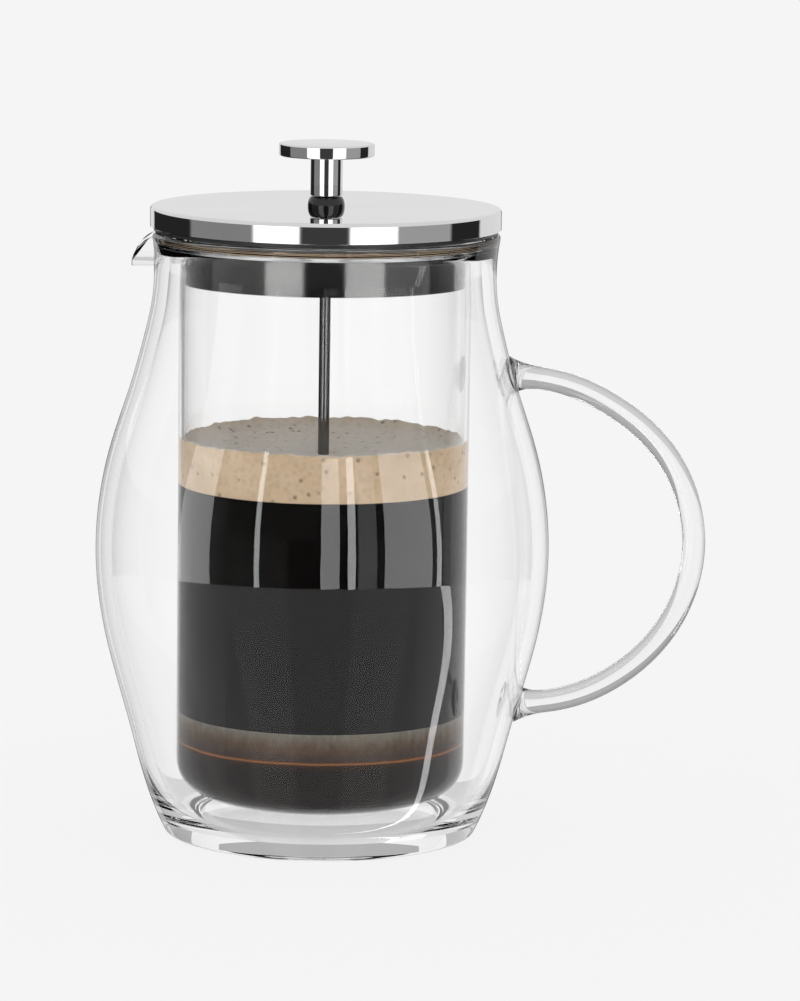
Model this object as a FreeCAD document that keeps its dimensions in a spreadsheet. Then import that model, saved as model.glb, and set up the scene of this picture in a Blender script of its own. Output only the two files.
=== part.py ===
import FreeCAD, Part
import os
import re
import Sketcher

# French press, double-wall glass. Millimetres, +Z up, origin on the axis at the
# plane of the foot ring, handle towards +X, pouring lip towards -X.

SIZES = {
    # outer glass wall, as control radii and heights of one smooth curve
    "shell_wall": 4.6,
    "rim_wall": 1.8,
    "foot_inner_radius": 41.0,
    "foot_outer_radius": 47.6,
    "punt_radius": 38.5,
    "punt_height": 1.8,
    "base_underside": 2.2,
    "base_floor": 6.6,
    "shell_radius_foot": 49.3,
    "shell_height_foot": 1.2,
    "shell_radius_base": 54.7,
    "shell_height_base": 12.0,
    "shell_radius_low": 59.6,
    "shell_height_low": 34.0,
    "shell_radius_rise": 68.6,
    "shell_height_rise": 62.0,
    "shell_radius_belly": 72.1,
    "shell_height_belly": 90.0,
    "shell_radius_fall": 68.3,
    "shell_height_fall": 118.0,
    "shell_radius_shoulder": 60.8,
    "shell_height_shoulder": 138.0,
    "shell_radius_throat": 55.5,
    "shell_height_throat": 158.0,
    "shell_radius_neck": 52.0,
    "shell_height_neck": 174.0,
    "shell_radius_rim": 54.2,
    "shell_height_rim": 187.5,
    "rim_top": 188.7,
    # inner vessel
    "vessel_bore_radius": 43.8,
    "vessel_wall": 1.5,
    "vessel_underside": 10.4,
    "vessel_floor": 12.0,
    "vessel_corner_height": 24.0,
    "vessel_flat_radius": 20.0,
    "vessel_flare_start": 177.0,
    "vessel_flange_radius": 52.6,
    "vessel_flange_top": 187.6,
    # pouring lip, a half pipe through both walls
    "lip_outer_radius": 9.5,
    "lip_wall": 1.5,
    "lip_axis_height": 187.0,
    "lip_reach": 60.3,
    "lip_slope_angle": 38.0,
    # round-rod handle
    "handle_rod_radius": 3.6,
    "handle_root": 55.0,
    "handle_top_height": 144.5,
    "handle_bottom_height": 41.0,
    "handle_first_reach": 71.0,
    "handle_shoulder_reach": 88.0,
    "handle_shoulder_height": 138.5,
    "handle_upper_reach": 110.0,
    "handle_upper_height": 121.0,
    "handle_grip_reach": 119.0,
    "handle_grip_height": 93.0,
    "handle_lower_reach": 111.0,
    "handle_lower_height": 65.0,
    "handle_heel_reach": 90.0,
    "handle_heel_height": 46.0,
    "handle_last_reach": 73.0,
    "weld_radius": 7.0,
    "weld_tip_radius": 3.4,
    "weld_length": 12.5,
    "weld_bite": 0.9,
    # lid
    "lid_radius": 54.5,
    "lid_top": 196.6,
    "lid_sheet": 0.8,
    "lid_skirt_bottom": 190.2,
    "lid_edge_round": 1.2,
    "lid_plate_bottom": 191.8,
    "gasket_outer_radius": 53.4,
    "gasket_inner_radius": 49.5,
    "gasket_bottom": 189.0,
    "gasket_top": 191.5,
    "collar_radius": 43.5,
    "collar_sheet": 0.8,
    "collar_bottom": 173.3,
    "slot_width": 2.2,
    "slot_bottom": 178.0,
    "slot_top": 187.0,
    "slot_pitch_angle": 7.0,
    "bead_radius": 5.75,
    "bead_top_radius": 4.6,
    "bead_top": 199.8,
    "bead_spigot_radius": 3.0,
    "bush_radius": 4.2,
    "bush_flange_radius": 8.0,
    "bush_bottom": 184.0,
    "bush_top": 194.6,
    "lock_ring_radius": 7.0,
    "lock_ring_height": 1.4,
    "rod_running_gap": 0.05,
    # plunger
    "rod_radius": 1.75,
    "rod_bottom": 30.8,
    "rod_top": 207.8,
    "stem_radius": 5.0,
    "stem_bottom": 200.1,
    "stem_spigot_radius": 3.0,
    "knob_bottom": 212.3,
    "knob_top": 216.3,
    "knob_radius": 14.75,
    "knob_edge_round": 0.5,
    # filter stack
    "hub_spigot_radius": 3.0,
    "hub_spigot_bottom": 27.8,
    "hub_flange_radius": 9.0,
    "hub_radius": 5.5,
    "hub_top": 44.8,
    "plate_bottom": 35.6,
    "plate_thickness": 1.0,
    "plate_radius": 36.8,
    "plate_hole_radius": 4.0,
    "plate_hole_circle": 25.0,
    "coil_ring_radius": 39.1,
    "coil_radius": 3.9,
    "coil_height": 35.4,
    "mesh_thickness": 0.4,
    "mesh_radius": 43.5,
    "mesh_flat_radius": 34.0,
    "mesh_drop_radius": 36.5,
    "mesh_rim_height": 30.7,
    "mesh_rim_top": 39.4,
    "cross_thickness": 1.0,
    "cross_radius": 33.5,
    "cross_window_radius": 11.5,
    "cross_window_circle": 20.0,
    "nut_circumradius": 6.0,
    "nut_height": 4.0,
}

PLATE_HOLES = 8
CROSS_WINDOWS = 4
SLOTS_EACH_SIDE = 4

doc = FreeCAD.newDocument("french_press")
sheet = doc.addObject("Spreadsheet::Sheet", "sizes")
for row, (word, value) in enumerate(SIZES.items(), start=1):
    sheet.set("A%d" % row, word.replace("_", " "))
    sheet.set("B%d" % row, str(value))
    sheet.setAlias("B%d" % row, word)
doc.recompute()


# ---------------------------------------------------------------- helpers

def bound(expression):
    """The expression with every size name pointing at the sheet."""
    def swap(match):
        word = match.group(0)
        return "sizes." + word if word in SIZES else word
    return re.sub(r"[a-z][a-z_]*", swap, str(expression))


def value(expression):
    """The number that an expression of size names stands for."""
    result = sheet.evalExpression(bound(expression).replace("sizes.", ""))
    return float(getattr(result, "Value", result))


def drive(obj, **properties):
    """Bind properties of a document object to the sheet."""
    for name, expression in properties.items():
        obj.setExpression(name.replace("__", "."), bound(expression))


def place(obj, x="0", y="0", z="0"):
    """Bind an object's position to the sheet."""
    drive(obj, Placement__Base__x=x, Placement__Base__y=y, Placement__Base__z=z)


def origin_feature(body, role):
    for feature in body.Origin.OriginFeatures:
        if feature.Role == role:
            return feature
    raise LookupError(role)


def new_body(name):
    body = doc.addObject("PartDesign::Body", name)
    body.Label = name
    return body


def new_sketch(body, role, name):
    sketch = body.newObject("Sketcher::SketchObject", name)
    sketch.AttachmentSupport = [(origin_feature(body, role), "")]
    sketch.MapMode = "FlatFace"
    return sketch


def pin_point(sketch, geometry, point, across, up):
    """Fix one point of a sketch at two sizes from the sheet."""
    for kind, expression in (("DistanceX", across), ("DistanceY", up)):
        rule = Sketcher.Constraint(kind, -1, 1, geometry, point, value(expression))
        index = sketch.addConstraint(rule)
        sketch.setExpression("Constraints[%d]" % index, bound(expression))


def add_line(sketch, start, end):
    points = [FreeCAD.Vector(value(a), value(b), 0) for a, b in (start, end)]
    line = sketch.addGeometry(Part.LineSegment(*points), False)
    pin_point(sketch, line, 1, *start)
    pin_point(sketch, line, 2, *end)


def add_curve(sketch, poles):
    """A smooth curve whose control points are all bound to the sheet."""
    spline = Part.BSplineCurve()
    vectors = [FreeCAD.Vector(value(a), value(b), 0) for a, b in poles]
    spline.buildFromPoles(vectors, False, 3)
    first = sketch.addGeometry(spline, False)
    sketch.exposeInternalGeometry(first)
    circles = [
        i for i in range(first + 1, sketch.GeometryCount)
        if sketch.Geometry[i].TypeId == "Part::GeomCircle"
    ]
    for circle, (across, up) in zip(circles, poles):
        pin_point(sketch, circle, 3, across, up)


def add_circle(sketch, across, up, radius):
    centre = FreeCAD.Vector(value(across), value(up), 0)
    shape = Part.Circle(centre, FreeCAD.Vector(0, 0, 1), value(radius))
    circle = sketch.addGeometry(shape, False)
    pin_point(sketch, circle, 3, across, up)
    index = sketch.addConstraint(Sketcher.Constraint("Radius", circle, value(radius)))
    sketch.setExpression("Constraints[%d]" % index, bound(radius))


def outline(sketch, path):
    """Closed outline from corner points; a list inside the path is a curve's inner poles."""
    corners = [item for item in path if isinstance(item, tuple)]
    corners.append(corners[0])
    step = 0
    waiting = []
    for item in path[1:] + [path[0]]:
        if isinstance(item, list):
            waiting = item
            continue
        start, end = corners[step], corners[step + 1]
        if waiting:
            add_curve(sketch, [start] + waiting + [end])
        else:
            add_line(sketch, start, end)
        waiting = []
        step += 1


def revolve(body, path, name="profile"):
    """Turn a closed outline of (radius, height) pairs about +Z."""
    sketch = new_sketch(body, "XZ_Plane", body.Name + "_" + name)
    outline(sketch, path)
    turned = body.newObject("PartDesign::Revolution", body.Name + "_turned")
    turned.Profile = sketch
    turned.ReferenceAxis = (sketch, ["V_Axis"])
    turned.Angle = 360.0
    body.Tip = turned
    doc.recompute()
    return turned


def ring_edges(feature, radius, height):
    """Names of the circular edges at one radius and height."""
    names = []
    for index, edge in enumerate(feature.Shape.Edges, start=1):
        curve = edge.Curve
        if curve.TypeId != "Part::GeomCircle":
            continue
        same_radius = abs(curve.Radius - value(radius)) < 0.01
        if same_radius and abs(curve.Center.z - value(height)) < 0.01:
            names.append("Edge%d" % index)
    return names


def round_edges(body, feature, places, size, kind="Fillet"):
    """Fillet or chamfer the circular edges at the given (radius, height) places."""
    names = [n for place_ in places for n in ring_edges(feature, *place_)]
    if not names:
        raise LookupError("no edges to round on " + body.Name)
    eased = body.newObject("PartDesign::" + kind, body.Name + "_" + kind.lower())
    eased.Base = (feature, names)
    drive(eased, **{"Radius" if kind == "Fillet" else "Size": size})
    body.Tip = eased
    doc.recompute()
    return eased


def cut_through(body, sketch, name, midplane=True):
    before = body.Shape.Volume
    pocket = body.newObject("PartDesign::Pocket", name)
    pocket.Profile = sketch
    pocket.Type = 1
    if midplane:
        pocket.Midplane = True
    body.Tip = pocket
    doc.recompute()
    if not body.Shape.Volume < before:
        raise ValueError(name + " removed nothing")
    return pocket


def around_z(body, features, name, count, angle, reverse=False):
    pattern = body.newObject("PartDesign::PolarPattern", name)
    pattern.Originals = features
    pattern.Axis = (origin_feature(body, "Z_Axis"), [""])
    pattern.Occurrences = count
    pattern.Reversed = reverse
    if isinstance(angle, str):
        drive(pattern, Angle=angle)
    else:
        pattern.Angle = angle
    body.Tip = pattern
    doc.recompute()
    return pattern


def primitive(kind, name, **sizes):
    obj = doc.addObject("Part::" + kind, name)
    drive(obj, **sizes)
    return obj


def fuse(name, shapes):
    obj = doc.addObject("Part::MultiFuse", name)
    obj.Shapes = shapes
    obj.Label = name
    return obj


def cut(name, base, tool):
    obj = doc.addObject("Part::Cut", name)
    obj.Base = base
    obj.Tool = tool
    obj.Label = name
    return obj


# ---------------------------------------------------------------- glass body

WALL_STATIONS = [
    "foot", "base", "low", "rise", "belly", "fall", "shoulder", "throat", "neck", "rim",
]


def wall_curve(inset, rim_inset):
    """Control points of the outer wall, moved inwards, and less so at the thin rim."""
    return [
        (
            "shell_radius_%s - %s" % (station, rim_inset if station == "rim" else inset),
            "shell_height_" + station,
        )
        for station in WALL_STATIONS
    ]


outer_curve = wall_curve("0", "0")
inner_curve = wall_curve("shell_wall", "rim_wall")
inner_start = ("shell_radius_foot - shell_wall", "base_floor - 0.6")

shell_blank = new_body("outer_shell_blank")
revolve(shell_blank, [
    ("0", "base_underside"),
    ("punt_radius", "punt_height"),
    ("foot_inner_radius", "0"),
    ("foot_outer_radius", "0"),
    [("shell_radius_foot - 0.6", "0.1")],
    outer_curve[0],
    outer_curve[1:-1],
    outer_curve[-1],
    [
        ("shell_radius_rim", "shell_height_rim + (rim_top - shell_height_rim) * 4 / 3"),
        (
            "shell_radius_rim - rim_wall",
            "shell_height_rim + (rim_top - shell_height_rim) * 4 / 3",
        ),
    ],
    inner_curve[-1],
    inner_curve[1:-1][::-1],
    inner_start,
    ("punt_radius", "base_floor - 0.6"),
    ("0", "base_floor"),
])

vessel_blank = new_body("inner_vessel_blank")
VESSEL_OUTSIDE = "vessel_bore_radius + vessel_wall"
revolve(vessel_blank, [
    ("0", "vessel_underside"),
    ("vessel_flat_radius", "vessel_underside"),
    [
        ("vessel_bore_radius - 8", "vessel_underside + 0.4"),
        (VESSEL_OUTSIDE, "vessel_underside + 2.6"),
    ],
    (VESSEL_OUTSIDE, "vessel_corner_height"),
    (VESSEL_OUTSIDE, "vessel_flare_start"),
    [
        (VESSEL_OUTSIDE, "vessel_flare_start + 6"),
        (VESSEL_OUTSIDE + " + 1.5", "vessel_flange_top - vessel_wall"),
    ],
    ("vessel_flange_radius", "vessel_flange_top - vessel_wall"),
    ("vessel_flange_radius", "vessel_flange_top"),
    [
        ("vessel_bore_radius + 2", "vessel_flange_top"),
        ("vessel_bore_radius", "vessel_flare_start + 8"),
    ],
    ("vessel_bore_radius", "vessel_flare_start + 1"),
    ("vessel_bore_radius", "vessel_corner_height"),
    [
        ("vessel_bore_radius", "vessel_floor + 2.8"),
        ("vessel_bore_radius - 9", "vessel_floor + 0.4"),
    ],
    ("vessel_flat_radius", "vessel_floor"),
    ("0", "vessel_floor"),
])


def channel(name, radius, near, far):
    """A round-bottomed bar along X, open to the top: the space a pouring lip fills."""
    pipe = primitive(
        "Cylinder", name + "_pipe", Radius=radius, Height="%s - (%s)" % (far, near),
    )
    pipe.Placement.Rotation = FreeCAD.Rotation(FreeCAD.Vector(0, 1, 0), -90)
    place(pipe, x="-(%s)" % near, z="lip_axis_height")
    block = primitive(
        "Box", name + "_block",
        Length="%s - (%s)" % (far, near), Width="2 * (%s)" % radius, Height="12",
    )
    place(block, x="-(%s)" % far, y="-(%s)" % radius, z="lip_axis_height")
    return fuse(name, [pipe, block])


LIP_START = "vessel_bore_radius - 6"
notch_tool = channel("notch_tool", "lip_outer_radius", LIP_START, "lip_reach + 4")
notch_tool_copy = channel("notch_tool_copy", "lip_outer_radius", LIP_START, "lip_reach + 4")
outer_glass_shell = cut("outer_glass_shell", shell_blank, notch_tool)
inner_glass_vessel = cut("inner_glass_vessel", vessel_blank, notch_tool_copy)

lip_block = channel("lip_block", "lip_outer_radius", LIP_START, "lip_reach")
lip_hollow = channel(
    "lip_hollow", "lip_outer_radius - lip_wall", "vessel_bore_radius - 8", "lip_reach + 4",
)
lip_bore = primitive("Cylinder", "lip_bore", Radius="vessel_bore_radius", Height="30")
place(lip_bore, z="lip_axis_height - 15")
lip_top_cut = primitive("Box", "lip_top_cut", Length="60", Width="40", Height="20")
place(lip_top_cut, x="-90", y="-20", z="vessel_flange_top")
lip_slope = primitive("Box", "lip_slope", Length="20", Width="40", Height="40")
lip_slope.Placement.Rotation = FreeCAD.Rotation(FreeCAD.Vector(0, 1, 0), 30)
drive(lip_slope, Placement__Rotation__Angle="lip_slope_angle * 1 deg")
place(
    lip_slope,
    x="-(lip_reach) - 20 * cos(lip_slope_angle * 1 deg)",
    y="-20",
    z="lip_axis_height - lip_outer_radius + 1.0 + 20 * sin(lip_slope_angle * 1 deg)",
)
lip_waste = fuse("lip_waste", [lip_hollow, lip_bore, lip_top_cut, lip_slope])
pouring_lip = cut("pouring_lip", lip_block, lip_waste)

# handle: one round rod swept along a smooth curve, swelling where it meets the wall
handle_rod = new_body("handle_rod")
handle_path = new_sketch(handle_rod, "XZ_Plane", "handle_path")
add_curve(handle_path, [
    ("handle_root", "handle_top_height"),
    ("handle_first_reach", "handle_top_height"),
    ("handle_shoulder_reach", "handle_shoulder_height"),
    ("handle_upper_reach", "handle_upper_height"),
    ("handle_grip_reach", "handle_grip_height"),
    ("handle_lower_reach", "handle_lower_height"),
    ("handle_heel_reach", "handle_heel_height"),
    ("handle_last_reach", "handle_bottom_height"),
    ("handle_root", "handle_bottom_height"),
])
handle_section = new_sketch(handle_rod, "YZ_Plane", "handle_section")
drive(handle_section, AttachmentOffset__Base__z="handle_root")
add_circle(handle_section, "0", "handle_top_height", "handle_rod_radius")
doc.recompute()
handle_sweep = handle_rod.newObject("PartDesign::AdditivePipe", "handle_sweep")
handle_sweep.Profile = handle_section
handle_sweep.Spine = (handle_path, ["Edge1"])
handle_sweep.Mode = "Frenet"
handle_rod.Tip = handle_sweep
doc.recompute()


def weld(name, height):
    """A cone of melted glass at one end of the handle."""
    cone = primitive(
        "Cone", name, Radius1="weld_radius", Radius2="weld_tip_radius", Height="weld_length",
    )
    cone.Placement.Rotation = FreeCAD.Rotation(FreeCAD.Vector(0, 1, 0), 90)
    place(cone, x="handle_root", z=height)
    return cone


handle_blank = fuse("handle_blank", [
    handle_rod,
    weld("weld_top", "handle_top_height"),
    weld("weld_bottom", "handle_bottom_height"),
])
wall_core = new_body("wall_core")
core_curve = wall_curve("weld_bite", "weld_bite")
revolve(wall_core, [
    ("0", "shell_height_foot"),
    core_curve[0],
    core_curve[1:-1],
    core_curve[-1],
    ("0", "shell_height_rim"),
])
glass_handle = cut("glass_handle", handle_blank, wall_core)

# ---------------------------------------------------------------- lid

lid_cover = new_body("lid_cover")
lid_turned = revolve(lid_cover, [
    ("lid_radius", "lid_skirt_bottom"),
    ("lid_radius", "lid_top"),
    ("bead_spigot_radius", "lid_top"),
    ("bead_spigot_radius", "lid_top - lid_sheet"),
    ("lid_radius - lid_sheet", "lid_top - lid_sheet"),
    ("lid_radius - lid_sheet", "lid_skirt_bottom"),
])
round_edges(lid_cover, lid_turned, [("lid_radius", "lid_top")], "lid_edge_round")

lid_inner_plate = new_body("lid_inner_plate")
revolve(lid_inner_plate, [
    ("bush_radius", "lid_plate_bottom"),
    ("lid_radius - lid_sheet", "lid_plate_bottom"),
    ("lid_radius - lid_sheet", "lid_plate_bottom + lid_sheet"),
    ("bush_radius", "lid_plate_bottom + lid_sheet"),
])

lid_gasket = new_body("lid_gasket")
gasket_turned = revolve(lid_gasket, [
    ("gasket_inner_radius", "gasket_bottom"),
    ("gasket_outer_radius", "gasket_bottom"),
    ("gasket_outer_radius", "gasket_top"),
    ("gasket_inner_radius", "gasket_top"),
])
round_edges(
    lid_gasket, gasket_turned,
    [("gasket_outer_radius", "gasket_bottom"), ("gasket_inner_radius", "gasket_bottom")],
    "0.3",
)

lid_collar = new_body("lid_collar")
collar_turned = revolve(lid_collar, [
    ("collar_radius - collar_sheet", "collar_bottom"),
    ("collar_radius", "collar_bottom"),
    ("collar_radius", "lid_plate_bottom"),
    ("collar_radius - collar_sheet", "lid_plate_bottom"),
])
slot_sketch = new_sketch(lid_collar, "YZ_Plane", "slot_sketch")
outline(slot_sketch, [
    ("-slot_width / 2", "slot_bottom"),
    ("slot_width / 2", "slot_bottom"),
    ("slot_width / 2", "slot_top"),
    ("-slot_width / 2", "slot_top"),
])
doc.recompute()
slot = lid_collar.newObject("PartDesign::Pocket", "slot")
slot.Profile = slot_sketch
slot.Type = 0
drive(slot, Length="collar_radius + 5")
lid_collar.Tip = slot
doc.recompute()
slot_side = lid_collar.Shape.BoundBox
probe = Part.makeBox(
    10, 1, 4, FreeCAD.Vector(-value("collar_radius") - 5, -0.5, value("slot_bottom") + 2),
)
if lid_collar.Shape.common(probe).Volume > 0.001:
    slot.Reversed = True
    doc.recompute()
if lid_collar.Shape.common(probe).Volume > 0.001:
    raise ValueError("the slots are on the wrong side of the collar")
SLOT_SPREAD = "slot_pitch_angle * %d" % SLOTS_EACH_SIDE
around_z(lid_collar, [slot], "slots_one_way", SLOTS_EACH_SIDE + 1, SLOT_SPREAD)
around_z(lid_collar, [slot], "slots_other_way", SLOTS_EACH_SIDE + 1, SLOT_SPREAD, True)

rod_bead = new_body("rod_bead")
revolve(rod_bead, [
    ("rod_radius + rod_running_gap", "lid_top - 1.6"),
    ("bead_spigot_radius", "lid_top - 1.6"),
    ("bead_spigot_radius", "lid_top"),
    ("bead_radius", "lid_top"),
    [
        ("bead_radius", "lid_top + 1.5"),
        ("bead_radius - 0.4", "bead_top - 0.3"),
    ],
    ("bead_top_radius", "bead_top"),
    ("rod_radius + rod_running_gap", "bead_top"),
])

guide_bush = new_body("guide_bush")
revolve(guide_bush, [
    ("rod_radius + rod_running_gap", "bush_bottom"),
    ("bush_radius", "bush_bottom"),
    ("bush_radius", "lid_plate_bottom - 1.6"),
    ("bush_flange_radius", "lid_plate_bottom - 1.6"),
    ("bush_flange_radius", "lid_plate_bottom"),
    ("bush_radius", "lid_plate_bottom"),
    ("bush_radius", "bush_top"),
    ("rod_radius + rod_running_gap", "bush_top"),
])

bush_lock_ring = new_body("bush_lock_ring")
revolve(bush_lock_ring, [
    ("bush_radius", "lid_plate_bottom + lid_sheet"),
    ("lock_ring_radius", "lid_plate_bottom + lid_sheet"),
    ("lock_ring_radius", "lid_plate_bottom + lid_sheet + lock_ring_height"),
    ("bush_radius", "lid_plate_bottom + lid_sheet + lock_ring_height"),
])

# ---------------------------------------------------------------- plunger

plunger_rod = new_body("plunger_rod")
revolve(plunger_rod, [
    ("0", "rod_bottom"),
    ("rod_radius", "rod_bottom"),
    ("rod_radius", "rod_top"),
    ("0", "rod_top"),
])

knob_stem = new_body("knob_stem")
stem_turned = revolve(knob_stem, [
    ("rod_radius", "stem_bottom"),
    ("stem_radius", "stem_bottom"),
    ("stem_radius", "knob_bottom"),
    ("stem_spigot_radius", "knob_bottom"),
    ("stem_spigot_radius", "knob_bottom + 2.5"),
    ("0", "knob_bottom + 2.5"),
    ("0", "rod_top"),
    ("rod_radius", "rod_top"),
])
round_edges(knob_stem, stem_turned, [("stem_radius", "stem_bottom")], "0.3", "Chamfer")

knob_disc = new_body("knob_disc")
disc_turned = revolve(knob_disc, [
    ("stem_spigot_radius", "knob_bottom"),
    ("knob_radius", "knob_bottom"),
    ("knob_radius", "knob_top"),
    ("0", "knob_top"),
    ("0", "knob_bottom + 2.6"),
    ("stem_spigot_radius", "knob_bottom + 2.6"),
])
round_edges(
    knob_disc, disc_turned,
    [("knob_radius", "knob_top"), ("knob_radius", "knob_bottom")],
    "knob_edge_round",
)

filter_hub = new_body("filter_hub")
revolve(filter_hub, [
    ("0", "hub_spigot_bottom"),
    ("hub_spigot_radius", "hub_spigot_bottom"),
    ("hub_spigot_radius", "plate_bottom + plate_thickness"),
    ("hub_flange_radius", "plate_bottom + plate_thickness"),
    ("hub_flange_radius", "plate_bottom + plate_thickness + 1.4"),
    ("hub_radius", "plate_bottom + plate_thickness + 1.4"),
    ("hub_radius", "hub_top"),
    ("rod_radius", "hub_top"),
    ("rod_radius", "rod_bottom"),
    ("0", "rod_bottom"),
])

spring_plate = new_body("spring_plate")
revolve(spring_plate, [
    ("hub_spigot_radius", "plate_bottom"),
    ("plate_radius", "plate_bottom"),
    ("plate_radius", "plate_bottom + plate_thickness"),
    ("hub_spigot_radius", "plate_bottom + plate_thickness"),
])
hole_sketch = new_sketch(spring_plate, "XY_Plane", "hole_sketch")
add_circle(hole_sketch, "plate_hole_circle", "0", "plate_hole_radius")
doc.recompute()
plate_hole = cut_through(spring_plate, hole_sketch, "plate_hole")
around_z(spring_plate, [plate_hole], "plate_holes", PLATE_HOLES, 360.0)

edge_spring = primitive(
    "Torus", "edge_spring", Radius1="coil_ring_radius", Radius2="coil_radius",
)
edge_spring.Label = "edge_spring"
place(edge_spring, z="coil_height")

mesh_screen = new_body("mesh_screen")
MESH_FLAT = "plate_bottom - mesh_thickness"
revolve(mesh_screen, [
    ("hub_spigot_radius", MESH_FLAT),
    ("mesh_flat_radius", MESH_FLAT),
    ("mesh_drop_radius", "mesh_rim_height"),
    ("mesh_radius", "mesh_rim_height"),
    ("mesh_radius", "mesh_rim_top"),
    ("mesh_radius - mesh_thickness", "mesh_rim_top"),
    ("mesh_radius - mesh_thickness", "mesh_rim_height + mesh_thickness"),
    ("mesh_drop_radius + 0.25", "mesh_rim_height + mesh_thickness"),
    ("mesh_flat_radius + 0.25", "plate_bottom"),
    ("hub_spigot_radius", "plate_bottom"),
])

cross_plate = new_body("cross_plate")
CROSS_TOP = "plate_bottom - mesh_thickness"
revolve(cross_plate, [
    ("hub_spigot_radius", CROSS_TOP + " - cross_thickness"),
    ("cross_radius", CROSS_TOP + " - cross_thickness"),
    ("cross_radius", CROSS_TOP),
    ("hub_spigot_radius", CROSS_TOP),
])
window_sketch = new_sketch(cross_plate, "XY_Plane", "window_sketch")
add_circle(window_sketch, "cross_window_circle", "0", "cross_window_radius")
doc.recompute()
window = cut_through(cross_plate, window_sketch, "window")
around_z(cross_plate, [window], "windows", CROSS_WINDOWS, 360.0)

nut_blank = primitive(
    "Prism", "nut_blank", Circumradius="nut_circumradius", Height="nut_height",
)
nut_blank.Polygon = 6
place(nut_blank, z=CROSS_TOP + " - cross_thickness - nut_height")
nut_bore = primitive("Cylinder", "nut_bore", Radius="hub_spigot_radius", Height="20")
place(nut_bore, z="plate_bottom - 15")
filter_nut = cut("filter_nut", nut_blank, nut_bore)

# ---------------------------------------------------------------- output

NODES = [
    outer_glass_shell, inner_glass_vessel, pouring_lip, glass_handle,
    lid_cover, lid_inner_plate, lid_gasket, lid_collar, rod_bead, guide_bush,
    bush_lock_ring, plunger_rod, knob_stem, knob_disc, filter_hub, spring_plate,
    edge_spring, mesh_screen, cross_plate, filter_nut,
]

doc.recompute()
for obj in doc.Objects:
    if "Invalid" in obj.State or "Error" in obj.State:
        raise ValueError("%s is %s" % (obj.Name, obj.State))

os.makedirs("parts", exist_ok=True)
for node in NODES:
    shape = node.Shape
    if shape.isNull() or not shape.isValid() or not shape.Solids:
        raise ValueError(node.Label + " has no valid solid")
    shape.exportStep("parts/%s.step" % node.Label)
    box = shape.BoundBox
    print("%-20s solids %d  volume %9.1f  x %.1f..%.1f  z %.1f..%.1f" % (
        node.Label, len(shape.Solids), shape.Volume, box.XMin, box.XMax, box.ZMin, box.ZMax,
    ))
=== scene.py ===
import math

import bmesh
import bpy
import numpy as np
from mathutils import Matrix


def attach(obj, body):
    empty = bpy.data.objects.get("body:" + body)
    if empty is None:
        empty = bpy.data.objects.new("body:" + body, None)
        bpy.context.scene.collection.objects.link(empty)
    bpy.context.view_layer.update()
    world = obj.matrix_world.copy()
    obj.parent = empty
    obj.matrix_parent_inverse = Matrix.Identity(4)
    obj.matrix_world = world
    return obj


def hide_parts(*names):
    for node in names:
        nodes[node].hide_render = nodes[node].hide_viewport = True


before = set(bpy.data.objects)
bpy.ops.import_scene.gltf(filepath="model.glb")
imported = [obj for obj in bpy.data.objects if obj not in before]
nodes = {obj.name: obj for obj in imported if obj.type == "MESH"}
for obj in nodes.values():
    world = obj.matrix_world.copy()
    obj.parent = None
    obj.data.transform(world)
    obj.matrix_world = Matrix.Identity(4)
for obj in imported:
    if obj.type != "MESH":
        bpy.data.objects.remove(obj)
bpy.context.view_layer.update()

MM = 0.001


# ---------------------------------------------------------------- shapes

def smooth_curve(poles, count=60):
    """Points along a clamped cubic curve with these control points."""
    points = np.array(poles, float)
    last = len(points) - 1
    knots = np.r_[np.zeros(3), np.linspace(0, 1, last - 1), np.ones(3)]
    result = []
    for u in np.linspace(0, 1, count):
        span = min(max(np.searchsorted(knots, u, side="right") - 1, 3), last)
        work = [points[span - 3 + j].copy() for j in range(4)]
        for level in range(1, 4):
            for j in range(3, level - 1, -1):
                left = knots[span - 3 + j]
                right = knots[span + j - level + 1]
                part = 0.0 if right == left else (u - left) / (right - left)
                work[j] = (1 - part) * work[j - 1] + part * work[j]
        result.append(tuple(work[3]))
    return result


def rounded(corners, radius, steps=4):
    """A closed outline with its corners rounded; corners on the axis stay sharp."""
    result = []
    count = len(corners)
    for i, corner in enumerate(corners):
        here = np.array(corner, float)
        before = np.array(corners[i - 1], float) - here
        after = np.array(corners[(i + 1) % count], float) - here
        reach = min(radius, np.linalg.norm(before) / 2.2, np.linalg.norm(after) / 2.2)
        if corner[0] < 1e-6 or reach < 1e-4:
            result.append(corner)
            continue
        start = here + before / np.linalg.norm(before) * reach
        end = here + after / np.linalg.norm(after) * reach
        for k in range(steps + 1):
            s = k / steps
            point = (1 - s) ** 2 * start + 2 * s * (1 - s) * here + s * s * end
            result.append(tuple(point))
    return result


def new_mesh(name, vertices, faces, sharp=40.0):
    """An object from vertices in metres, smooth except at angles over sharp."""
    mesh = bpy.data.meshes.new(name)
    mesh.from_pydata(vertices, [], faces)
    mesh.validate()
    mesh.update()
    mesh.shade_smooth()
    if sharp:
        mesh.set_sharp_from_angle(angle=math.radians(sharp))
    obj = bpy.data.objects.new(name, mesh)
    bpy.context.scene.collection.objects.link(obj)
    return obj


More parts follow.
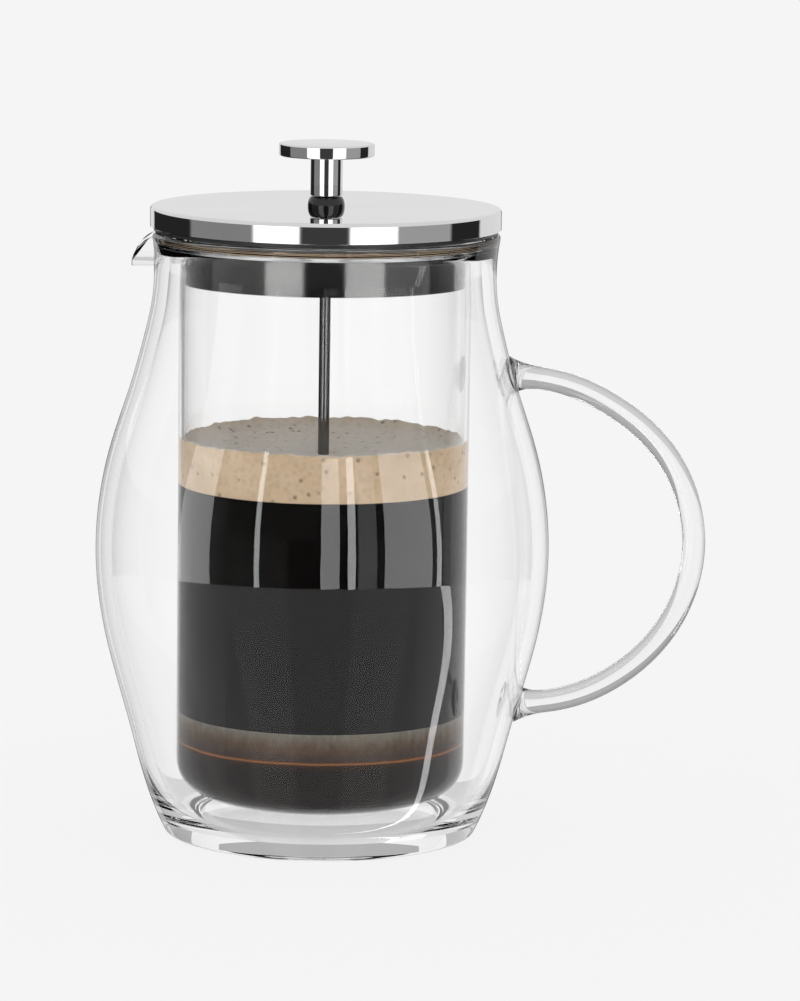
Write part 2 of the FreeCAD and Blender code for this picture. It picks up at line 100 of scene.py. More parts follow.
def lathe(name, outline, segments=256, sharp=40.0, wobble=None):
    """A closed outline of (radius, height) in mm, listed anticlockwise, turned about Z."""
    vertices = []
    rings = []
    for radius, height in outline:
        if radius < 1e-6:
            rings.append([len(vertices)])
            vertices.append((0.0, 0.0, height * MM))
            continue
        ring = []
        for k in range(segments):
            angle = 2 * math.pi * k / segments
            dr, dz = wobble(radius, height, angle) if wobble else (0.0, 0.0)
            ring.append(len(vertices))
            vertices.append((
                (radius + dr) * MM * math.cos(angle),
                (radius + dr) * MM * math.sin(angle),
                (height + dz) * MM,
            ))
        rings.append(ring)
    faces = []
    for a, b in zip(rings, rings[1:] + rings[:1]):
        if len(a) == 1 and len(b) == 1:
            continue
        for k in range(segments):
            n = (k + 1) % segments
            if len(a) == 1:
                faces.append((a[0], b[n], b[k]))
            elif len(b) == 1:
                faces.append((a[k], a[n], b[0]))
            else:
                faces.append((a[k], a[n], b[n], b[k]))
    return new_mesh(name, vertices, faces, sharp)


def tube(name, path, radii, sides):
    """A round rod along a path in the XZ plane, in mm, with a radius at each point."""
    path = [np.array((x, 0.0, z)) for x, z in path]
    vertices = []
    faces = []
    for i, (point, radius) in enumerate(zip(path, radii)):
        ahead = path[min(i + 1, len(path) - 1)] - path[max(i - 1, 0)]
        ahead = ahead / np.linalg.norm(ahead)
        side = np.array((0.0, 1.0, 0.0))
        up = np.cross(ahead, side)
        for k in range(sides):
            angle = 2 * math.pi * k / sides
            spot = point + radius * (math.cos(angle) * side + math.sin(angle) * up)
            vertices.append(tuple(spot * MM))
    for i in range(len(path) - 1):
        for k in range(sides):
            n = (k + 1) % sides
            a, b = i * sides, (i + 1) * sides
            faces.append((a + k, a + n, b + n, b + k))
    faces.append(tuple(range(sides))[::-1])
    faces.append(tuple((len(path) - 1) * sides + k for k in range(sides)))
    return new_mesh(name, vertices, faces)


def fix_normals(obj):
    """Make all faces look outwards."""
    bm = bmesh.new()
    bm.from_mesh(obj.data)
    bmesh.ops.recalc_face_normals(bm, faces=bm.faces)
    bm.to_mesh(obj.data)
    bm.free()
    obj.data.update()


def take_over(obj, body, *cad_nodes):
    """obj is what is seen of these CAD nodes and moves with their body."""
    fix_normals(obj)
    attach(obj, body)
    if cad_nodes:
        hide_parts(*cad_nodes)
    return obj


# ---------------------------------------------------------------- materials

def new_material(name, **inputs):
    material = bpy.data.materials.new(name)
    material.use_nodes = True
    shader = material.node_tree.nodes["Principled BSDF"]
    for key, value in inputs.items():
        shader.inputs[key.replace("_", " ")].default_value = value
    return material, shader


def add_node(material, kind, **settings):
    """A shader node with its inputs or its own settings given by name."""
    node = material.node_tree.nodes.new(kind)
    for key, value in settings.items():
        if key in node.inputs:
            node.inputs[key].default_value = value
        else:
            setattr(node, key, value)
    return node


def wire(material, source, target):
    material.node_tree.links.new(source, target)


def set_stops(ramp, stops):
    """Give a colour ramp these (position, colour) stops."""
    elements = ramp.color_ramp.elements
    while len(elements) < len(stops):
        elements.new(0.5)
    for element, (position, colour) in zip(elements, stops):
        element.position = position
        element.color = (*colour, 1)


def colour_ramp(material, source, stops):
    """The colour that the ramp with these stops gives for the source's value."""
    ramp = add_node(material, "ShaderNodeValToRGB")
    set_stops(ramp, stops)
    wire(material, source, ramp.inputs["Fac"])
    return ramp.outputs["Color"]


def map_range(material, source, low, high, to_low=0.0, to_high=1.0):
    """The source's value with low to high stretched to to_low to to_high."""
    node = add_node(material, "ShaderNodeMapRange")
    for name, value in (
        ("From Min", low), ("From Max", high), ("To Min", to_low), ("To Max", to_high),
    ):
        node.inputs[name].default_value = value
    wire(material, source, node.inputs["Value"])
    return node.outputs["Result"]


def object_texture(material, kind, **settings):
    """A procedural texture laid out in the piece's own space."""
    place = add_node(material, "ShaderNodeTexCoord")
    texture = add_node(material, kind, **settings)
    wire(material, place.outputs["Object"], texture.inputs["Vector"])
    return texture


def height_in_piece(material):
    """The height above the piece's origin, in metres."""
    split = object_texture(material, "ShaderNodeSeparateXYZ")
    return split.outputs["Z"]


def multiply_add(material, value, factor, extra):
    node = add_node(material, "ShaderNodeMath", operation="MULTIPLY_ADD")
    node.inputs[1].default_value = factor
    wire(material, value, node.inputs[0])
    wire(material, extra, node.inputs[2])
    return node.outputs["Value"]


def noise_colour(material, scale, dark, light, low=0.35, high=0.65):
    """A colour that drifts between two tones with a noise in object space."""
    noise = object_texture(material, "ShaderNodeTexNoise", Scale=scale, Detail=3.0)
    return colour_ramp(material, noise.outputs["Fac"], [(low, dark), (high, light)])


def steel(name, tone, roughness, spread=0.02):
    """Metal, a little uneven in tone; where it is given a dark tone, that tone is painted shade.
    """
    material, shader = new_material(name, Metallic=1.0, Roughness=roughness)
    dark = (tone - spread, tone - spread, tone - spread)
    light = (tone + spread, tone + spread, tone + spread * 0.8)
    wire(material, noise_colour(material, 30.0, dark, light), shader.inputs["Base Color"])
    return material


def clear_glass(name, tint, gloss, edge, start, end=1.0):
    """Clear glass that lets the light through, with painted shade: its colour turns greyer where
    it is looked through at a slant, darkening its edges.
    """
    material, shader = new_material(
        name, Roughness=0.0, IOR=1.47, Specular_Tint=(gloss, gloss, gloss, 1),
    )
    shader.inputs["Transmission Weight"].default_value = 1.0
    # Painted shade: the base colour goes from tint to edge as the glass is seen more at a slant.
    slant = add_node(material, "ShaderNodeLayerWeight", Blend=0.5)
    grey = colour_ramp(material, slant.outputs["Facing"], [
        (start, (tint, tint, tint)), (end, (edge, edge, edge)),
    ])
    wire(material, grey, shader.inputs["Base Color"])
    path = add_node(material, "ShaderNodeLightPath")
    open_way = add_node(material, "ShaderNodeBsdfTransparent")
    surface = shader.outputs["BSDF"]
    for ray in ("Is Shadow Ray", "Is Diffuse Ray"):
        mix = add_node(material, "ShaderNodeMixShader")
        wire(material, path.outputs[ray], mix.inputs[0])
        wire(material, surface, mix.inputs[1])
        wire(material, open_way.outputs[0], mix.inputs[2])
        surface = mix.outputs[0]
    output = material.node_tree.nodes["Material Output"]
    wire(material, surface, output.inputs["Surface"])
    return material


def soft_plastic(name, dark, light, roughness):
    material, shader = new_material(name, Roughness=roughness)
    wire(material, noise_colour(material, 200.0, dark, light), shader.inputs["Base Color"])
    return material


polished = steel("polished_steel_look", 0.79, 0.035)
# The rod's steel gets a dark tone: painted shade, for how dark the chrome rod looks behind the
# glass.
rod_steel_painted_shade = steel("rod_steel_look", 0.16, 0.12)
plain = steel("plain_steel_look", 0.55, 0.28, spread=0.05)
# The third number of each glass is the grey of the painted shade at its slanted edges; on the
# wall's inside faces it equals the tint, so they get none.
glass = clear_glass("clear_glass_look", 0.995, 0.08, 0.35, 0.80, 0.96)
wall_inside_glass = clear_glass("wall_inside_glass_look", 0.993, 0.7, 0.993, 0.5)
lip_glass = clear_glass("lip_glass_look", 0.97, 0.2, 0.60, 0.35, 0.95)
handle_glass = clear_glass("handle_glass_look", 0.92, 0.15, 0.42, 0.20, 0.60)
black_gloss = soft_plastic("black_gloss_look", (0.004, 0.004, 0.004), (0.010, 0.010, 0.011), 0.12)
# The gasket's near-black colour is painted shade, for the dark gap seen under the lid's edge.
silicone_painted_shade = soft_plastic("silicone_look", (0.010, 0.010, 0.010), (0.020, 0.020, 0.021), 0.40)
# The collar's steel gets a dark tone: painted shade, for how dark the polished collar looks behind
# the glass.
collar_steel_painted_shade = steel("collar_steel_look", 0.20, 0.10)
nylon = soft_plastic("nylon_look", (0.72, 0.72, 0.70), (0.80, 0.80, 0.78), 0.45)


def coffee_material():
    """Near-black coffee that turns a little browner in the grounds at the bottom."""
    material, shader = new_material("coffee_look", Roughness=0.6)
    shader.inputs["Specular IOR Level"].default_value = 0.0
    height = map_range(material, height_in_piece(material), 0.0, 0.120)
    noise = object_texture(material, "ShaderNodeTexNoise", Scale=90.0, Detail=4.0)
    uneven_height = multiply_add(material, noise.outputs["Fac"], 0.006, height)
    colour = colour_ramp(material, uneven_height, [
        (0.08, (0.0060, 0.0040, 0.0035)),
        (0.235, (0.0080, 0.0050, 0.0040)),
        (0.250, (0.0280, 0.0120, 0.0060)),
        (0.2545, (0.3000, 0.1150, 0.0320)),
        (0.2590, (0.0300, 0.0140, 0.0070)),
        (0.2700, (0.0050, 0.0042, 0.0038)),
        (0.95, (0.0040, 0.0036, 0.0034)),
    ])
    wire(material, colour, shader.inputs["Base Color"])
    return material


def foam_material():
    """Tan foam with small bubbles, some of them dark."""
    material, shader = new_material("foam_look", Roughness=0.55)
    cells = object_texture(material, "ShaderNodeTexVoronoi", Scale=520.0)
    specks = object_texture(material, "ShaderNodeTexVoronoi", Scale=230.0)
    tan = noise_colour(material, 60.0, (0.50, 0.36, 0.22), (0.66, 0.50, 0.34), 0.3, 0.7)
    # Painted sheen: faces that look up are painted greyer, for the shine on the foam's top seen at
    # a slant; the sides stay tan.
    facing = add_node(material, "ShaderNodeSeparateXYZ")
    wire(material, add_node(material, "ShaderNodeNewGeometry").outputs["Normal"], facing.inputs[0])
    upward = map_range(material, facing.outputs["Z"], 0.30, 0.95)
    surface = add_node(material, "ShaderNodeMix", data_type="RGBA")
    surface.inputs["B"].default_value = (0.60, 0.545, 0.48, 1)
    wire(material, upward, surface.inputs["Factor"])
    wire(material, tan, surface.inputs["A"])
    fine = map_range(material, cells.outputs["Distance"], 0.0, 0.6, 0.88, 1.06)
    tone = add_node(material, "ShaderNodeMix", data_type="RGBA", blend_type="MULTIPLY")
    tone.inputs["Factor"].default_value = 1.0
    wire(material, surface.outputs["Result"], tone.inputs["A"])
    wire(material, fine, tone.inputs["B"])
    spot = map_range(material, specks.outputs["Distance"], 0.12, 0.19, 0.65, 0.0)
    dark = add_node(material, "ShaderNodeMix", data_type="RGBA")
    dark.inputs["B"].default_value = (0.16, 0.10, 0.05, 1)
    wire(material, tone.outputs["Result"], dark.inputs["A"])
    wire(material, spot, dark.inputs["Factor"])
    wire(material, dark.outputs["Result"], shader.inputs["Base Color"])
    bump = add_node(material, "ShaderNodeBump", Strength=0.35, Distance=0.0006)
    wire(material, cells.outputs["Distance"], bump.inputs["Height"])
    wire(material, bump.outputs["Normal"], shader.inputs["Normal"])
    return material


def mesh_material():
    """Fine woven screen, wet and a little green-grey, darker and browner towards its bottom, with
    upright streaks of tone.
    """
    material, shader = new_material("mesh_look", Roughness=0.45, Metallic=0.35)
    place = add_node(material, "ShaderNodeTexCoord")
    mapping = add_node(material, "ShaderNodeMapping")
    mapping.inputs["Scale"].default_value = (1.0, 1.0, 0.35)
    wire(material, place.outputs["Object"], mapping.inputs["Vector"])
    noise = add_node(material, "ShaderNodeTexNoise", Scale=620.0, Detail=5.0, Roughness=0.7)
    wire(material, mapping.outputs["Vector"], noise.inputs["Vector"])
    height = map_range(material, height_in_piece(material), 0.0305, 0.0395)
    mixed = multiply_add(material, noise.outputs["Fac"], 0.9, height)
    scaled = add_node(material, "ShaderNodeMath", operation="MULTIPLY")
    scaled.inputs[1].default_value = 0.62
    wire(material, mixed, scaled.inputs[0])
    colour = colour_ramp(material, scaled.outputs["Value"], [
        (0.35, (0.034, 0.014, 0.006)),
        (0.60, (0.095, 0.052, 0.024)),
        (0.85, (0.170, 0.150, 0.118)),
        (1.00, (0.240, 0.250, 0.215)),
    ])
    wire(material, colour, shader.inputs["Base Color"])
    return material


def paint(obj, material):
    obj.data.materials.clear()
    obj.data.materials.append(material)


def paint_node(name, material):
    """Give a CAD node its look through its own material slots."""
    obj = nodes[name]
    for slot in obj.material_slots:
        slot.link = "OBJECT"
        slot.material = material


def paint_inside(obj, material):
    """Give the faces that look towards the axis, below 128 mm, a material of their own."""
    obj.data.materials.append(material)
    for face in obj.data.polygons:
        centre, normal = face.center, face.normal
        inward = centre.x * normal.x + centre.y * normal.y < 0
        if inward and centre.z < 128 * MM:
            face.material_index = 1


# ---------------------------------------------------------------- glass

WALL = 4.6
RIM_WALL = 1.8
RIM_RADIUS = 54.2
RIM_HEIGHT = 187.5
STATIONS = [
    (49.3, 1.2), (54.7, 12.0), (59.6, 34.0), (68.6, 62.0), (72.1, 90.0),
    (68.3, 118.0), (60.8, 138.0), (55.5, 158.0), (52.0, 174.0), (RIM_RADIUS, RIM_HEIGHT),
]
RIM_BULGE = RIM_HEIGHT + 1.2 * 4 / 3
BORE = 43.8
GLASS = 1.5
OUTSIDE = BORE + GLASS

outer_side = smooth_curve(STATIONS, 110)
inner_stations = [(44.7, 6.0)] + [(r - WALL, z) for r, z in STATIONS[1:-1]]
inner_side = smooth_curve(inner_stations + [(54.1 - WALL, 184.6)], 110)
RIM_INSIDE = RIM_RADIUS - RIM_WALL
inner_side += [(51.4, 185.8), (RIM_INSIDE, 186.0), (RIM_INSIDE, RIM_HEIGHT)]
inner_side = inner_side[::-1]
rim_top = smooth_curve([
    (RIM_RADIUS, RIM_HEIGHT), (RIM_RADIUS, RIM_BULGE), (52.4, RIM_BULGE), (52.4, RIM_HEIGHT),
], 14)
foot = smooth_curve([(47.6, 0.0), (48.7, 0.1), (48.9, 0.5), (49.3, 1.2)], 8)
shell_outline = (
    [(0.0, 2.2), (36.0, 2.0), (38.5, 1.8), (40.0, 0.6), (41.0, 0.0), (44.0, 0.0)]
    + foot + outer_side[1:] + rim_top[1:-1] + inner_side
    + [(38.5, 6.0), (20.0, 6.4), (0.0, 6.6)]
)
glass_outer = lathe("glass_outer_wall", shell_outline, 320, sharp=60)

vessel_outline = (
    [(0.0, 10.4), (20.0, 10.4)]
    + smooth_curve([(20.0, 10.4), (35.8, 10.8), (OUTSIDE, 13.0), (OUTSIDE, 24.0)], 24)[1:]
    + [(OUTSIDE, z) for z in np.linspace(30, 177, 30)]
    + smooth_curve([(OUTSIDE, 177), (OUTSIDE, 183), (46.8, 186.1), (52.6, 186.1)], 20)[1:]
    + [(52.6, 187.6)]
    + smooth_curve([(52.6, 187.6), (45.8, 187.6), (BORE, 185.0), (BORE, 178.0)], 20)[1:]
    + [(BORE, z) for z in np.linspace(171, 30, 30)]
    + smooth_curve([(BORE, 24.0), (BORE, 14.8), (34.8, 12.4), (20.0, 12.0)], 24)
    + [(0.0, 12.0)]
)
glass_inner = lathe("glass_inner_vessel", vessel_outline, 320, sharp=60)


LIP_RADIUS = 9.5
LIP_BORE = 8.0
LIP_AXIS = 187.0
LIP_TOP = 187.6
ABOVE_RIM = 200.0


def half_pipe(radius, top, axis_height, inner_radius=None):
    """The section of a U-shaped bar, or of a channel where it has an inner radius."""
    steps = 28
    arc = [math.pi + math.pi * k / steps for k in range(steps + 1)]
    outer = [(radius * math.cos(a), axis_height + radius * math.sin(a)) for a in arc]
    section = [(-radius, top)] + outer + [(radius, top)]
    if inner_radius:
        inner = [
            (inner_radius * math.cos(a), axis_height + inner_radius * math.sin(a))
            for a in arc[::-1]
        ]
        section += [(inner_radius, top)] + inner + [(-inner_radius, top)]
    return section


def notch_cutter():
    """A bar of the lip's outer section that opens both walls for it."""
    section = half_pipe(LIP_RADIUS, ABOVE_RIM, LIP_AXIS)
    vertices = []
    for x in (-36.0, -70.0):
        vertices += [(x * MM, y * MM, z * MM) for y, z in section]
    n = len(section)
    faces = [tuple(range(n)), tuple(range(2 * n - 1, n - 1, -1))]
    faces += [(k, n + k, n + (k + 1) % n, (k + 1) % n) for k in range(n)]
    cutter = new_mesh("notch_cutter", vertices, faces)
    fix_normals(cutter)
    return cutter


def cut_with(obj, cutter):
    """Take the cutter out of obj for good."""
    modifier = obj.modifiers.new("notch", "BOOLEAN")
    modifier.operation = "DIFFERENCE"
    modifier.solver = "EXACT"
    modifier.object = cutter
    bpy.context.view_layer.update()
    graph = bpy.context.evaluated_depsgraph_get()
    mesh = bpy.data.meshes.new_from_object(obj.evaluated_get(graph))
    obj.modifiers.clear()
    obj.data = mesh
    mesh.shade_smooth()
    mesh.set_sharp_from_angle(angle=math.radians(50))


cutter = notch_cutter()
for wall in (glass_outer, glass_inner):
    fix_normals(wall)
    cut_with(wall, cutter)
bpy.data.objects.remove(cutter)


def pouring_lip():
    """Half-round channel of glass from the bore to the beak, its far end sloping back."""
    section = rounded(half_pipe(LIP_RADIUS, LIP_TOP, LIP_AXIS, LIP_BORE), 0.5, 3)
    edge = smooth_curve([(-60.0, 177.5), (-60.4, 180.5), (-58.0, 186.0), (-52.9, LIP_TOP)], 20)
    edge_reaches, edge_heights = zip(*edge)
    stations = 36
    vertices = []
    n = len(section)
    for k in range(stations + 1):
        s = k / stations
        for y, z in section:
            near = -math.sqrt(BORE ** 2 - y ** 2)
            far = np.interp(z, edge_heights, edge_reaches)
            vertices.append(((near + (far - near) * s) * MM, y * MM, z * MM))
    faces = [
        (a * n + k, a * n + (k + 1) % n, (a + 1) * n + (k + 1) % n, (a + 1) * n + k)
        for a in range(stations) for k in range(n)
    ]
    faces.append(tuple(range(n))[::-1])
    faces.append(tuple(stations * n + k for k in range(n)))
    obj = new_mesh("glass_pouring_lip", vertices, faces)
    fix_normals(obj)
    bevel = obj.modifiers.new("soft", "BEVEL")
    bevel.width = 0.0004
    bevel.segments = 3
    bevel.limit_method = "ANGLE"
    bevel.angle_limit = math.radians(40)
    return obj


glass_lip = pouring_lip()

HANDLE = [
    (57.5, 144.5), (71.0, 144.5), (88.0, 138.5), (110.0, 121.0), (119.0, 93.0),
    (111.0, 65.0), (90.0, 46.0), (73.0, 41.0), (60.6, 41.0),
]
handle_path = smooth_curve(HANDLE, 150)
lengths = np.r_[0, np.cumsum(np.hypot(*np.diff(np.array(handle_path), axis=0).T))]


def handle_radius(along, total):
    """The rod swells smoothly where it was welded on."""
    near = min(along, total - along)
    swell = max(0.0, 1.0 - near / 9.0)
    return 3.6 + 2.6 * swell ** 2


glass_handle = tube(
    "glass_handle_rod", handle_path,
    [handle_radius(a, lengths[-1]) for a in lengths], 64,
)

for obj, node in (
    (glass_outer, "outer_glass_shell"),
    (glass_inner, "inner_glass_vessel"),
    (glass_lip, "pouring_lip"),
):
    take_over(obj, "carafe", node)
    paint(obj, glass)
paint_inside(glass_outer, wall_inside_glass)
paint(glass_lip, lip_glass)
take_over(glass_handle, "carafe", "glass_handle")
paint(glass_handle, handle_glass)

# ---------------------------------------------------------------- coffee, not in the CAD

COFFEE = BORE + 0.03
LINE = 110.0


FOAM_WAVES_FROM = 121.0
FOAM_WAVES_OVER = 3.9


def foam_wobble(radius, height, angle):
    """Small bubbles along the foam's edge."""
    if height < FOAM_WAVES_FROM:
        return 0.0, 0.0
    wave = 0.30 * math.sin(5 * angle + 0.6) * math.sin(11 * angle)
    for lobes, size in ((17, 0.10), (29, 0.13), (43, 0.12), (61, 0.12)):
        wave += size * math.sin(lobes * angle + lobes + radius)
    return 0.0, wave * (height - FOAM_WAVES_FROM) / FOAM_WAVES_OVER


coffee = lathe("coffee", (
    [(0.0, 11.9), (20.0, 11.9)]
    + smooth_curve([(20.0, 11.97), (34.83, 12.37), (COFFEE, 14.77), (COFFEE, 24.0)], 24)[1:]
    + [(COFFEE, z) for z in np.linspace(28, LINE, 30)]
    + [(0.0, LINE)]
), 320, sharp=50)
foam = lathe("coffee_foam", (
    [(0.0, LINE), (COFFEE, LINE)]
    + [(COFFEE, z) for z in np.linspace(LINE + 1, 124.6, 10)]
    + [
        (43.2, 124.9), (42.4, 124.2), (41.0, 122.9), (38.0, 121.4), (34.0, 120.4),
        (28.0, 119.7), (20.0, 119.3), (10.0, 119.0), (4.0, 118.8), (0.0, 118.8),
    ]
), 320, sharp=50, wobble=foam_wobble)
for obj, look in ((coffee, coffee_material()), (foam, foam_material())):
    take_over(obj, "carafe")
    paint(obj, look)

# ---------------------------------------------------------------- lid

LID_RADIUS = 54.5
LID_TOP = 196.6
HOLE = 3.0

lid_cover = lathe("lid_cover_look", (
    [(53.7, 190.2), (54.3, 190.2)]
    + [(LID_RADIUS, z) for z in (190.4, 192.0, 194.0, 195.4)]
    + smooth_curve([
        (LID_RADIUS, 195.4), (LID_RADIUS, 196.2), (54.1, LID_TOP), (53.3, LID_TOP),
    ], 10)[1:]
    + [(r, LID_TOP) for r in (50.0, 30.0, 10.0, HOLE)]
    + [(HOLE, 195.8), (53.7, 195.8)]
), 384, sharp=35)
bead = lathe("rod_bead_look", (
    [(1.8, 195.0), (HOLE, 195.0), (HOLE, LID_TOP), (5.75, LID_TOP)]
    + smooth_curve([(5.75, LID_TOP), (5.75, 198.1), (5.35, 199.5), (4.6, 199.8)], 16)[1:]
    + [(1.8, 199.8)]
), 96)
for obj, node, look in (
    (lid_cover, "lid_cover", polished),
    (bead, "rod_bead", black_gloss),
):
    take_over(obj, "lid", node)
    paint(obj, look)
paint_node("lid_inner_plate", plain)
paint_node("lid_collar", collar_steel_painted_shade)
paint_node("lid_gasket", silicone_painted_shade)
paint_node("guide_bush", nylon)
paint_node("bush_lock_ring", plain)

# ---------------------------------------------------------------- plunger

ROD_RADIUS = 1.75
ROD_TOP = 207.8
DISC_BOTTOM = 212.3
PIN_RADIUS = 3.0

rod = lathe("plunger_rod_look", rounded([
    (0.0, 30.8), (ROD_RADIUS, 30.8), (ROD_RADIUS, ROD_TOP), (0.0, ROD_TOP),
], 0.2), 64)
stem = lathe("knob_stem_look", rounded([
    (0.0, ROD_TOP), (ROD_RADIUS, ROD_TOP), (ROD_RADIUS, 200.1), (5.0, 200.1), (5.0, DISC_BOTTOM),
    (PIN_RADIUS, DISC_BOTTOM), (PIN_RADIUS, 214.8), (0.0, 214.8),
], 0.3), 128)
disc = lathe("knob_disc_look", rounded([
    (0.0, 214.9), (PIN_RADIUS, 214.9), (PIN_RADIUS, DISC_BOTTOM), (14.75, DISC_BOTTOM),
    (14.75, 216.3), (0.0, 216.3),
], 0.55, 6), 192)
for obj, node, look in (
    (rod, "plunger_rod", rod_steel_painted_shade),
    (stem, "knob_stem", polished),
    (disc, "knob_disc", polished),
):
    take_over(obj, "plunger", node)
    paint(obj, look)


def coil_ring():
    """The spring that runs round the filter's edge: a wire wound along a circle."""
    ring, height, turn, wire_radius = 39.1, 35.4, 3.45, 0.32
    turns, per_turn, sides = 150, 14, 6
    total = turns * per_turn
    vertices = []
    for k in range(total):
        along = 2 * math.pi * k / total
        spin = along * turns
        radial = np.array((math.cos(along), math.sin(along), 0.0))
        upward = np.array((0.0, 0.0, 1.0))
        out = math.cos(spin) * radial + math.sin(spin) * upward
        centre = ring * radial + turn * out + np.array((0.0, 0.0, height))
        ahead = np.cross(upward, radial) * 0.55 + (
            -math.sin(spin) * radial + math.cos(spin) * upward
        )
        ahead = ahead / np.linalg.norm(ahead)
        across = np.cross(ahead, out)
        for j in range(sides):
            a = 2 * math.pi * j / sides
            spot = centre + wire_radius * (math.cos(a) * out + math.sin(a) * across)
            vertices.append(tuple(spot * MM))
    faces = [
        (k * sides + j, k * sides + (j + 1) % sides,
         ((k + 1) % total) * sides + (j + 1) % sides, ((k + 1) % total) * sides + j)
        for k in range(total) for j in range(sides)
    ]
    return new_mesh("edge_spring_coil", vertices, faces, sharp=None)


spring = coil_ring()
take_over(spring, "plunger", "edge_spring")
paint(spring, plain)

SCREEN = BORE + 0.07
SCREEN_INSIDE = SCREEN - 0.5
screen = lathe("mesh_screen_look", [
    (3.0, 35.2), (34.0, 35.2), (36.5, 30.7), (SCREEN, 30.7), (SCREEN, 39.4),
    (SCREEN_INSIDE, 39.4), (SCREEN_INSIDE, 31.1), (36.8, 31.1), (34.3, 35.6), (3.0, 35.6),
], 320, sharp=40)
take_over(screen, "plunger", "mesh_screen")
paint(screen, mesh_material())
for name in ("spring_plate", "cross_plate", "filter_hub", "filter_nut"):
    paint_node(name, plain)

# ---------------------------------------------------------------- stage

BACKGROUND = 0.913
FLOOR_TONE = 0.08

# What a ray sees in each direction, by how it got there: a list of (angle, level).
# Angles are degrees about Z from the camera's side, to its right; a level holds to the next angle.
# The bands are fitted to the front view. The dark ones in THROUGH_SEES turn the glass smoky where
# they lie straight behind it, which they do between the 45 degree steps round the object.
STEEL_SEES = [
    (-180, 0.80), (-172, 0.25), (-166, 0.80), (-152, 0.02), (-98, 0.25), (-47, 1.9), (-16.5, 0.05),
    (16.5, 1.9), (48, 0.38), (90, 0.02), (121, 0.80), (166, 0.25), (172, 0.80),
]
WALL_SEES = [
    (-180, 0.91), (-172, 0.10), (-165, 0.91), (-140, 0.45), (-110, 0.7), (-81, 5.5), (-61, 0.0),
    (-36.3, 16.0), (-33, 0.0), (-0.5, 6.0), (9.7, 0.0), (13.8, 16.0), (16.9, 0.0),
    (18.9, 1.6), (28.8, 0.0), (33.6, 5.5), (59.5, 0.0), (62.0, 16.0), (66.0, 0.6),
    (110, 0.45), (140, 0.91), (165, 0.10), (172, 0.91),
]
WALL_SEES_BELOW = [
    (-180, 0.91), (-172, 0.30), (-165, 0.91), (-140, 0.8), (-98, 1.0), (66.0, 14.0), (71.0, 1.0),
    (98, 0.8), (140, 0.91), (165, 0.30), (172, 0.91),
]
DEEPER_SEES = [(-180, 0.91), (-152, 0.6), (-80, 0.10), (80, 0.6), (121, 0.91)]
CALM_SEES = [
    (-180, 0.91), (-172, 0.3), (-165, 0.91), (-130, 0.6), (-60, 0.8), (60, 0.6), (130, 0.91),
    (165, 0.3), (172, 0.91),
]
THROUGH_SEES = [
    (-180, 0.95), (-124, 0.04), (-103, 0.95), (-78, 0.04), (-57, 0.95), (57, 0.04),
    (78, 0.95), (103, 0.04), (124, 0.95),
]
HIGHEST_LEVEL = 20.0


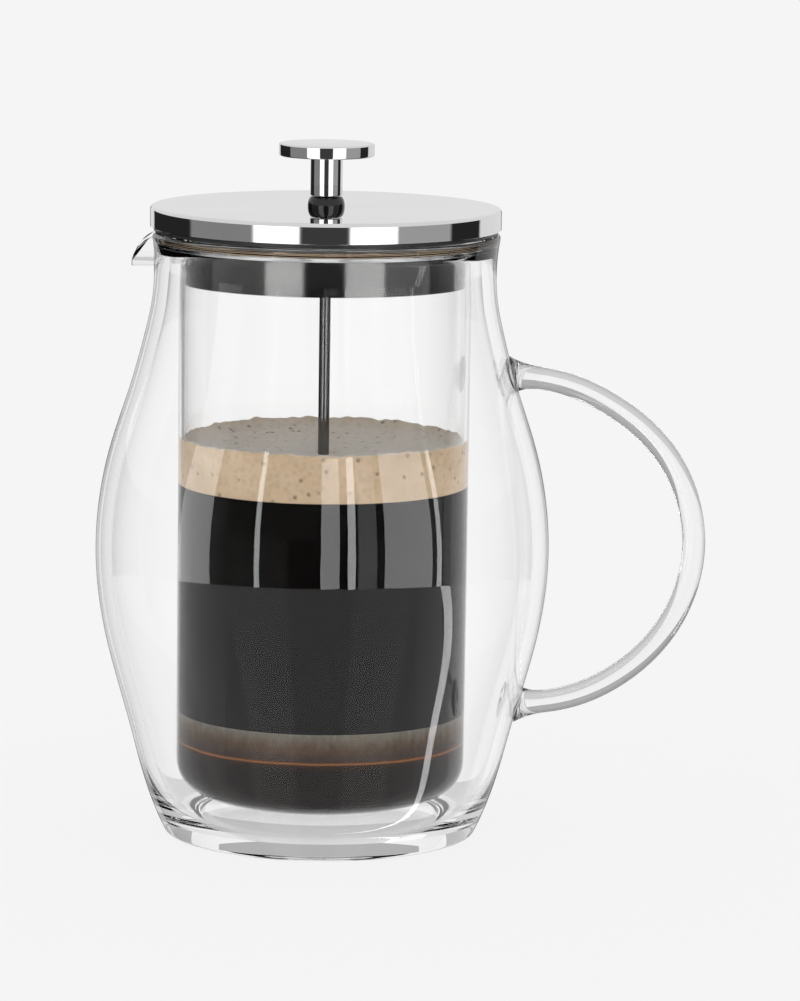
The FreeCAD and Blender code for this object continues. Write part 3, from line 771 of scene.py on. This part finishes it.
def studio():
    """The world: even and pale to the camera and to diffuse light, banded to all other rays.

    What a reflection or a look through glass sees depends on its direction and on how many
    glass faces it crossed, which no real studio can do.
    """
    world = bpy.data.worlds.new("studio")
    bpy.context.scene.world = world
    world.use_nodes = True
    background = world.node_tree.nodes["Background"]
    background.inputs["Color"].default_value = (1, 1, 1, 1)

    def feed(socket, value):
        if isinstance(value, (int, float)):
            socket.default_value = value
        else:
            wire(world, value, socket)

    def maths(operation, first, second=0.0, third=0.0):
        node = add_node(world, "ShaderNodeMath", operation=operation)
        for socket, value in zip(node.inputs, (first, second, third)):
            feed(socket, value)
        return node.outputs[0]

    def choose(test, where_true, where_false):
        mix = add_node(world, "ShaderNodeMix", data_type="FLOAT")
        wire(world, test, mix.inputs["Factor"])
        feed(mix.inputs["A"], where_false)
        feed(mix.inputs["B"], where_true)
        return mix.outputs["Result"]

    direction = add_node(world, "ShaderNodeSeparateXYZ")
    wire(world, add_node(world, "ShaderNodeTexCoord").outputs["Generated"], direction.inputs[0])
    behind = maths("MULTIPLY", direction.outputs["Y"], -1.0)
    turn = maths("DIVIDE", maths("ARCTAN2", direction.outputs["X"], behind), 2 * math.pi)
    turn = maths("ADD", turn, 0.5)
    rise = direction.outputs["Z"]

    def bands(levels, soft=0.0, turn=turn):
        """The level in each direction, with its steps softened over this many degrees."""
        ramp = add_node(world, "ShaderNodeValToRGB")
        ramp.color_ramp.interpolation = "LINEAR" if soft else "CONSTANT"
        if soft:
            before = [(angle - soft, level) for (angle, _), (_, level) in zip(levels[1:], levels)]
            after = [(angle + soft, level) for angle, level in levels]
            levels = sorted(before + after)
        set_stops(ramp, [
            ((angle + 180) / 360, [level / HIGHEST_LEVEL] * 3) for angle, level in levels
        ])
        wire(world, turn, ramp.inputs["Fac"])
        return maths("MULTIPLY", ramp.outputs["Color"], HIGHEST_LEVEL)

    def above(degrees):
        return maths("GREATER_THAN", rise, math.sin(math.radians(degrees)))

    path = add_node(world, "ShaderNodeLightPath")
    through = path.outputs["Transmission Depth"]
    again = maths("GREATER_THAN", path.outputs["Glossy Depth"], 1.5)
    from_top = maths("MULTIPLY", above(4), maths("SUBTRACT", 1.0, again))
    steel = choose(from_top, 0.80, bands(STEEL_SEES, 1.2))
    lean = maths("MULTIPLY_ADD", rise, 0.094, 0.094 * 0.2)
    wall_below = bands(WALL_SEES_BELOW, turn=maths("ADD", turn, lean))
    wall = choose(above(-11.3), bands(WALL_SEES), wall_below)
    wall = choose(above(26), 0.6, wall)
    seen = choose(maths("COMPARE", through, 2.0, 0.5), wall, steel)
    deeper = maths("COMPARE", through, 4.0, 1.5)
    seen = choose(deeper, bands(DEEPER_SEES), seen)
    calm = maths("MULTIPLY", again, maths("GREATER_THAN", through, 0.5))
    seen = choose(calm, bands(CALM_SEES), seen)
    mirrored = maths("GREATER_THAN", path.outputs["Glossy Depth"], 0.5)
    scattered = maths("GREATER_THAN", path.outputs["Diffuse Depth"], 0.5)
    refracted = choose(above(-11.5), bands(THROUGH_SEES), 0.93)
    refracted = choose(above(-19), refracted, 0.66)
    refracted = choose(above(2), 0.45, refracted)
    straight = choose(maths("GREATER_THAN", through, 0.5), refracted, BACKGROUND)
    level = choose(mirrored, seen, straight)
    level = choose(scattered, BACKGROUND, level)
    wire(world, level, background.inputs["Strength"])


studio()

floor = new_mesh("floor", [
    (-30, -30, 0), (30, -30, 0), (30, 30, 0), (-30, 30, 0),
], [(0, 1, 2, 3)], sharp=None)
floor.location.z = -0.0002
floor_look, floor_shader = new_material("floor_look", Roughness=0.9)
floor_shader.inputs["Base Color"].default_value = (FLOOR_TONE, FLOOR_TONE, FLOOR_TONE, 1)
floor_shader.inputs["Specular IOR Level"].default_value = 0.0
floor_shader.inputs["Emission Color"].default_value = (1, 1, 1, 1)
floor_shader.inputs["Emission Strength"].default_value = BACKGROUND * (1 - FLOOR_TONE)
paint(floor, floor_look)
floor.visible_glossy = False
floor.visible_transmission = False

scene = bpy.context.scene
scene.view_settings.view_transform = "Standard"
scene.view_settings.look = "None"
scene.cycles.max_bounces = 20
scene.cycles.glossy_bounces = 9
scene.cycles.transmission_bounces = 16

# ---------------------------------------------------------------- camera

camera_data = bpy.data.cameras.new("camera")
camera = bpy.data.objects.new("camera", camera_data)
scene.collection.objects.link(camera)
scene.camera = camera
camera_data.sensor_width = 36.0
camera_data.lens = 181.1
camera_data.clip_end = 100.0
camera.location = (0.0208, -1.555, 0.3474)
camera.rotation_euler = (math.radians(90 - 8.87), math.radians(-0.78), 0.0)
